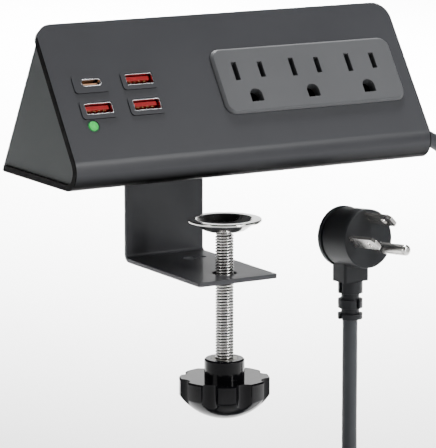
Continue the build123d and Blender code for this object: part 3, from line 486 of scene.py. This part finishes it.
# ---- clamp screw, with its thread ----------------------------------------------
PITCH, THREAD_RADIUS, THREAD_DEPTH = 0.00125, 0.004, 0.00068
THREAD_LOW, THREAD_TURNS, THREAD_STEPS = -0.0958, 59, 48
# One pitch of the thread's section: share of the pitch, share of the depth.
THREAD_SECTION = ((0, 0), (0.10, 0.06), (0.22, 0.42), (0.36, 0.90), (0.44, 1),
                  (0.56, 1), (0.64, 0.90), (0.78, 0.42), (0.90, 0.06))


def make_thread():
    """The helix, which rises and fades over one turn at either end, and the screw's core."""
    bm = bmesh.new()
    width = len(THREAD_SECTION)
    last = THREAD_TURNS * THREAD_STEPS
    grid = []
    for step in range(last + 1):
        angle = 2 * pi * step / THREAD_STEPS
        depth = THREAD_DEPTH * min(1, (last - step) / THREAD_STEPS, step / THREAD_STEPS)
        row = []
        for share, height in THREAD_SECTION:
            radius = THREAD_RADIUS - THREAD_DEPTH + depth * height
            z = THREAD_LOW + PITCH * (step / THREAD_STEPS + share)
            row.append(bm.verts.new((radius * cos(angle), radius * sin(angle), z)))
        grid.append(row)
    for step in range(last):
        here, there = grid[step], grid[step + 1]
        for i in range(width - 1):
            bm.faces.new((here[i], there[i], there[i + 1], here[i + 1]))
        if step + THREAD_STEPS < last:
            above, beyond = grid[step + THREAD_STEPS], grid[step + THREAD_STEPS + 1]
            bm.faces.new((here[-1], there[-1], beyond[0], above[0]))
    turned(bm, in_mm([
        (0, -96), (3.3, -96), (3.35, -94), (3.3, -22.6), (3.3, -21.5), (2.6, -21.2), (2.6, -19.3),
        (3.9, -19.3), (4.1, -19.0), (4.0, -18.5), (3.2, -18.1), (0, -18.0),
    ]), steps=48, closed=False)
    piece_from(
        bm, "screw_thread", "screw_and_knob", "chrome_steel", ("clamp_screw",), weighted=False,
    )


def make_cup():
    """The pressed cup: flat rim with a rolled edge, round bowl and flat bottom."""
    bm = bmesh.new()
    turned(bm, in_mm([
        (2.68, -19.6), (5.0, -19.6), (6.6, -19.45), (8.0, -19.0), (9.3, -18.3), (10.4, -17.3),
        (11.2, -16.3), (11.7, -15.7), (12.2, -15.45), (12.9, -15.4), (14.4, -15.4), (15.6, -15.4),
        (15.88, -15.5), (16.0, -15.8), (16.0, -16.2), (15.85, -16.5), (15.5, -16.6), (14.0, -16.62),
        (13.1, -16.75), (12.5, -17.1), (11.7, -18.0), (10.7, -18.95), (9.4, -19.8), (7.8, -20.45),
        (6.2, -20.75), (4.6, -20.8), (2.68, -20.8),
    ]), steps=128)
    piece_from(bm, "cup_bowl", "pressure_cup", "chrome_steel", ("pressure_cup",))


# ---- strain reliefs ------------------------------------------------------------
PLUG_X, PLUG_Y = 0.0574, -0.0106
RELIEF_TOP, RELIEF_BOTTOM = -0.0464, -0.0633
RELIEF_TIERS = ((RELIEF_TOP, -0.0518), (-0.0544, -0.0584), (-0.0608, RELIEF_BOTTOM))
RELIEF_WIDE, RELIEF_NECK, RELIEF_CHAMFER = 0.0054, 0.0040, 0.0003
RIB_SINK = 0.0006                     # how far a rib reaches into the neck
RIB_GAP, RIB_TURN = radians(18), radians(5)


def rib(bm, centre, low, high, inner, outer, start, arc, steps=24):
    """A block that bends round a vertical axis, from the angle start over arc."""
    middle = Vector((*centre, 0))
    rows = []
    for i in range(steps + 1):
        angle = start + arc * i / steps
        across = Vector((cos(angle), sin(angle), 0))
        rows.append([
            bm.verts.new(middle + across * r + Vector((0, 0, z)))
            for r, z in ((inner, low), (outer, low), (outer, high), (inner, high))
        ])
    for here, there in zip(rows, rows[1:]):
        join_rings(bm, here, there)
    bm.faces.new(rows[0])
    bm.faces.new(reversed(rows[-1]))


def make_plug_relief():
    """A neck with rings of ribs, whose gaps face the front and the side in turn."""
    bm = bmesh.new()
    centre = (PLUG_X, PLUG_Y)
    turned(bm, [
        (0, RELIEF_BOTTOM), (RELIEF_NECK - RELIEF_CHAMFER, RELIEF_BOTTOM),
        (RELIEF_NECK, RELIEF_BOTTOM + RELIEF_CHAMFER), (RELIEF_NECK, RELIEF_TOP), (0, RELIEF_TOP),
    ], centre, 48, closed=False)
    for number, (high, low) in enumerate(RELIEF_TIERS):
        first = RIB_TURN + pi / 2 * (number % 2) + RIB_GAP / 2
        for half in (0, pi):
            rib(bm, centre, low, high, RELIEF_NECK - RIB_SINK, RELIEF_WIDE,
                first + half, pi - RIB_GAP)
    return piece_from(bm, "plug_relief_ribs", "housing", "plug_plastic", ("plug_relief",), 0.00025)


GLAND_Y, GLAND_Z = 0.033, 0.0122
SLEEVE_START, SLEEVE_LENGTH, DROOP = 0.1006, 0.022, radians(25)
SLEEVE_RIBS = 6


def drooped(along, across, turn):
    """A point of the sleeve: distance along its bent axis, radius, and angle round it."""
    bend = SLEEVE_LENGTH / DROOP
    angle = max(along - SLEEVE_START, 0) / bend
    x = SLEEVE_START + bend * sin(angle) + min(along - SLEEVE_START, 0)
    z = GLAND_Z - bend * (1 - cos(angle))
    return Vector((
        x + across * cos(turn) * sin(angle),
        GLAND_Y + across * sin(turn),
        z + across * cos(turn) * cos(angle),
    ))


def make_gland():
    """Flange and drooping sleeve with grooves, where the lead leaves the end wall."""
    # In millimetres: radius, and distance along the axis, which is the X coordinate up to
    # where the sleeve starts to droop.
    outline = [(3.3, 93.9), (5.6, 93.9), (5.6, 95.8), (4.6, 96.0), (4.6, 98.1), (5.2, 98.15),
               (5.65, 98.4), (5.7, 98.9), (5.65, 99.7), (5.3, 100.1), (5.0, 100.6)]
    first, last = 101.2, 121.2
    pitch = (last - first) / SLEEVE_RIBS
    for number in range(SLEEVE_RIBS):
        start = first + pitch * number
        radius = 5.0 - 0.75 * number / SLEEVE_RIBS
        outline += [(radius, start), (radius - 0.08, start + 0.62 * pitch),
                    (radius - 0.9, start + 0.68 * pitch), (radius - 0.9, start + 0.93 * pitch)]
    outline += [(4.2, last), (4.2, 122.1), (3.9, 122.6), (3.2, 122.6)]
    steps = 48
    bm = bmesh.new()
    rows = [
        [bm.verts.new(drooped(along * MM, radius * MM, 2 * pi * i / steps)) for i in range(steps)]
        for radius, along in outline
    ]
    for low, high in zip(rows, rows[1:]):
        join_rings(bm, low, high)
    return piece_from(bm, "gland_sleeve", "housing", "gland_rubber", ("cord_gland",), 0.0002)


# ---- mains lead: one spline from the gland to the plug -----------------------
CORD = 0.0066
CORD_REST = -0.157 + CORD / 2
COIL_X, COIL_Y = 0.0012, -0.0223
COIL_RADII = (0.0305, 0.0371, 0.0437)
COIL_TURNS, POINTS_PER_TURN = 6, 16
CLIMB_TURN, CLIMB_TURNS = 2.75, 0.5    # where the lead climbs to the upper layer, and for how long
SHIFT_TURN = 0.35                      # turns wound in a layer before the radius changes
# The measured box grows by each point's radius, so the radius is small and the
# bevel depth is larger by as much.
POINT_RADIUS = 0.001
DROP_ROUTE = [
    (0.1219, 0.0330, 0.0075),
    (0.1350, 0.0330, 0.0014),
    (0.1468, 0.0326, -0.0120),
    (0.1548, 0.0310, -0.0320),
    (0.1582, 0.0280, -0.0570),
    (0.1576, 0.0245, -0.0840),
    (0.1518, 0.0215, -0.1100),
    (0.1395, 0.0198, -0.1335),
    (0.1165, 0.0196, -0.1478),
    (0.0890, 0.0202, -0.1532),
    (0.0620, 0.0209, CORD_REST),
    (0.0390, 0.0213, CORD_REST),
    (0.0160, 0.0214, CORD_REST),
]
RISE_ROUTE = [
    (0.0458, -0.0318, CORD_REST + CORD),
    (0.0532, -0.0184, -0.1383),
    (0.0574, -0.0106, -0.1229),
    (0.0575, -0.0105, -0.0950),
    (0.0574, -0.0106, -0.0634),
]
COIL_START, COIL_END = pi / 2, radians(-38.7)


def coil_points():
    """Control points of the wound turns: inwards on the lower layer, then outwards on top."""
    turns = COIL_TURNS + (COIL_END - COIL_START) / (2 * pi)
    steps = round(turns * POINTS_PER_TURN)
    inner, middle, outer = COIL_RADII
    pitch = outer - middle
    points = []
    for step in range(steps + 1):
        wound = turns * step / steps
        angle = COIL_START + 2 * pi * wound
        radius = outer - pitch * min(max(wound - SHIFT_TURN, 0), 2)
        if wound > CLIMB_TURN:
            radius = inner + pitch * min(max(wound - CLIMB_TURN - SHIFT_TURN, 0), 2)
        climb = min(max((wound - CLIMB_TURN + CLIMB_TURNS / 2) / CLIMB_TURNS, 0), 1)
        height = CORD_REST + CORD * climb * climb * (3 - 2 * climb)
        # The spline cuts inside its control points, so they stand a little further out.
        stretch = radius / cos(pi / POINTS_PER_TURN) ** 2
        points.append((COIL_X + stretch * cos(angle), COIL_Y + stretch * sin(angle), height))
    return points


def make_cord():
    """The whole lead as one spline."""
    route = DROP_ROUTE + coil_points() + RISE_ROUTE
    curve = bpy.data.curves.new("mains_lead", "CURVE")
    curve.dimensions = "3D"
    spline = curve.splines.new("NURBS")
    spline.points.add(len(route) - 1)
    for point, place in zip(spline.points, route):
        point.co = (*place, 1)
        point.radius = POINT_RADIUS
    spline.order_u = 3
    spline.use_endpoint_u = True
    spline.resolution_u = 8
    curve.bevel_depth = CORD / 2 / POINT_RADIUS
    curve.bevel_resolution = 8
    curve.use_fill_caps = True
    cord = add_object("mains_lead", curve)
    return settle(cord, "housing", "cord_jacket", ("cord_drop", "cord_coil", "cord_rise"))


# ---- straps round the wound turns -----------------------------------------------
TIE_ANGLES, TIE_ARC, TIE_SHEET = (radians(150), radians(262)), radians(13), 0.0008
TIE_ROUND, TIE_STEPS = 0.0036, 6
TIE_GAP = 0.00005                      # between the turns and the strap's inner face


def strap_section(grow):
    """Outline of the strap round the stacked turns: distance from the coil's axis, height."""
    inner, outer = COIL_RADII[0] - CORD / 2 - grow, COIL_RADII[-1] + CORD / 2 + grow
    low, high = CORD_REST - CORD / 2 - grow, CORD_REST + 1.5 * CORD + grow
    points = []
    for cx, cz, first in (
        (outer - TIE_ROUND, high - TIE_ROUND, 0),
        (inner + TIE_ROUND, high - TIE_ROUND, pi / 2),
        (inner + TIE_ROUND, low + TIE_ROUND, pi),
        (outer - TIE_ROUND, low + TIE_ROUND, 3 * pi / 2),
    ):
        for step in range(TIE_STEPS + 1):
            angle = first + pi / 2 * step / TIE_STEPS
            points.append((cx + TIE_ROUND * cos(angle), cz + TIE_ROUND * sin(angle)))
    return points


def make_straps():
    """Two straps, each a band between an outer and an inner section, bent with the coil."""
    bm = bmesh.new()
    shell, lining = strap_section(TIE_GAP + TIE_SHEET), strap_section(TIE_GAP)
    for centre in TIE_ANGLES:
        slices = []
        for step in range(TIE_STEPS + 1):
            angle = centre + TIE_ARC * (step / TIE_STEPS - 0.5)
            slices.append([
                [bm.verts.new((COIL_X + r * cos(angle), COIL_Y + r * sin(angle), z))
                 for r, z in ring]
                for ring in (shell, lining)
            ])
        for here, there in zip(slices, slices[1:]):
            for low, high in zip(here, there):
                join_rings(bm, low, high)
        for outside, inside in (slices[0], slices[-1]):
            join_rings(bm, outside, inside)
    return piece_from(bm, "coil_straps", "housing", "tie_fabric", ("cord_tie",), 0.0002)


# ---- CAD nodes that show: crisp edges and their slots' finishes -------------------
EDGE_WIDTHS = {
    "front_shell": 0.00040,
    "rear_cover": 0.00035,
    "outlet_plate": 0.00030,
    "usb_bezels": 0.00022,
    "usb_a_shells": 0.00008,
    "usb_a_tongues": 0.00015,
    "usb_c_shell": 0.00010,
    "usb_c_tongue": 0.00010,
    "led_ring": 0.00012,
    "clinch_nut": 0.00020,
    "seat_pad": 0.00030,
    "knob": 0.00060,
    "knob_insert": 0.00020,
    "plug_body": 0.00030,
    "plug_blades": 0.00012,
    "plug_pin": 0.00015,
}


WELD_WITHIN, LEVEL_WITHIN = 2e-6, radians(0.6)


def refine(node, width):
    """Welds the imported facets, joins those that lie level, and rounds the edges."""
    split = node.data.attributes.get("custom_normal")
    if split:
        node.data.attributes.remove(split)
    for polygon in node.data.polygons:
        polygon.use_smooth = True
    weld = node.modifiers.new("weld", "WELD")
    weld.merge_threshold = WELD_WITHIN
    level = node.modifiers.new("level", "DECIMATE")
    level.decimate_type = "DISSOLVE"
    level.angle_limit = LEVEL_WITHIN
    add_bevel(node, width)
    add_weighted(node)


def finish_nodes():
    """Gives every CAD node its slot's finish, and those that show their rounded edges."""
    for part in frame["record"]["subparts"]:
        dress(nodes[part["node"]], part["material_slot"])
    for name, width in EDGE_WIDTHS.items():
        refine(nodes[name], width)


# ---- floor and lights --------------------------------------------------------------
FLOOR_REACH = 8.0
WORLD_LOW, WORLD_HIGH = 0.02, 0.30     # heights of the direction between which the world dims
HORIZON, OVERHEAD = 0.55, 0.06
# Name, place, what it is aimed at, width and height, watts, and spread in degrees.
LIGHTS = (
    ("key", (0.55, -1.05, 0.85), (0, 0, 0), (0.7, 0.5), 11.5, 180),
    ("left_wall", (-1.3, -0.1, 0.35), (-0.07, 0, 0.03), (0.6, 0.5), 3.8, 180),
    ("strip", (0.35, -1.3, 0.25), (0.01, 0, -0.06), (0.08, 0.9), 7, 180),
    ("rear_panel", (0.95, 1.7, 0.34), (0, 0, 0), (1.0, 0.44), 2.6, 180),
    ("backdrop", (0.85, 1.6, 1.6), (0.85, 1.35, FLOOR), (1.5, 2.2), 190, 60),
)


def make_floor():
    """A wide, level, pale floor."""
    bm = bmesh.new()
    signs = ((-1, -1), (1, -1), (1, 1), (-1, 1))
    bm.faces.new([bm.verts.new((x * FLOOR_REACH, y * FLOOR_REACH, FLOOR)) for x, y in signs])
    mesh = bpy.data.meshes.new("floor")
    bm.to_mesh(mesh)
    bm.free()
    floor = add_object("floor", mesh)
    finish, tree, shader = blank("floor")
    tree.links.new(
        tinted(tree, spread(tree, noise(tree, 6, 2), 0, 1), (0.9, 0.9, 0.9), 0.01),
        shader.inputs["Base Color"],
    )
    shader.inputs["Roughness"].default_value = 0.85
    mesh.materials.append(finish)


def make_light(name, place, aim, size, watts, spread_angle):
    data = bpy.data.lights.new(name, "AREA")
    data.shape = "RECTANGLE"
    data.size, data.size_y = size
    data.energy = watts
    data.spread = radians(spread_angle)
    light = add_object(name, data)
    light.location = place
    light.rotation_euler = look_along(Vector(aim) - Vector(place))


def make_world(horizon, above):
    """A studio that is pale all round at the floor's level and dim overhead."""
    world = bpy.data.worlds.new("studio")
    world.use_nodes = True
    tree = world.node_tree
    direction = tree.nodes.new("ShaderNodeTexCoord").outputs["Generated"]
    level = remapped(
        tree, coordinate(tree, direction),
        From_Min=WORLD_LOW, From_Max=WORLD_HIGH, To_Min=horizon, To_Max=above,
    )
    background = tree.nodes["Background"]
    background.inputs["Color"].default_value = (1, 1, 1, 1)
    tree.links.new(level, background.inputs["Strength"])
    bpy.context.scene.world = world


make_floor()
make_world(HORIZON, OVERHEAD)
for light in LIGHTS:
    make_light(*light)

make_bracket()
make_thread()
make_cup()
relief_piece = make_plug_relief()
gland_piece = make_gland()
straps = make_straps()
cord = make_cord()
finish_nodes()

bpy.context.view_layer.update()
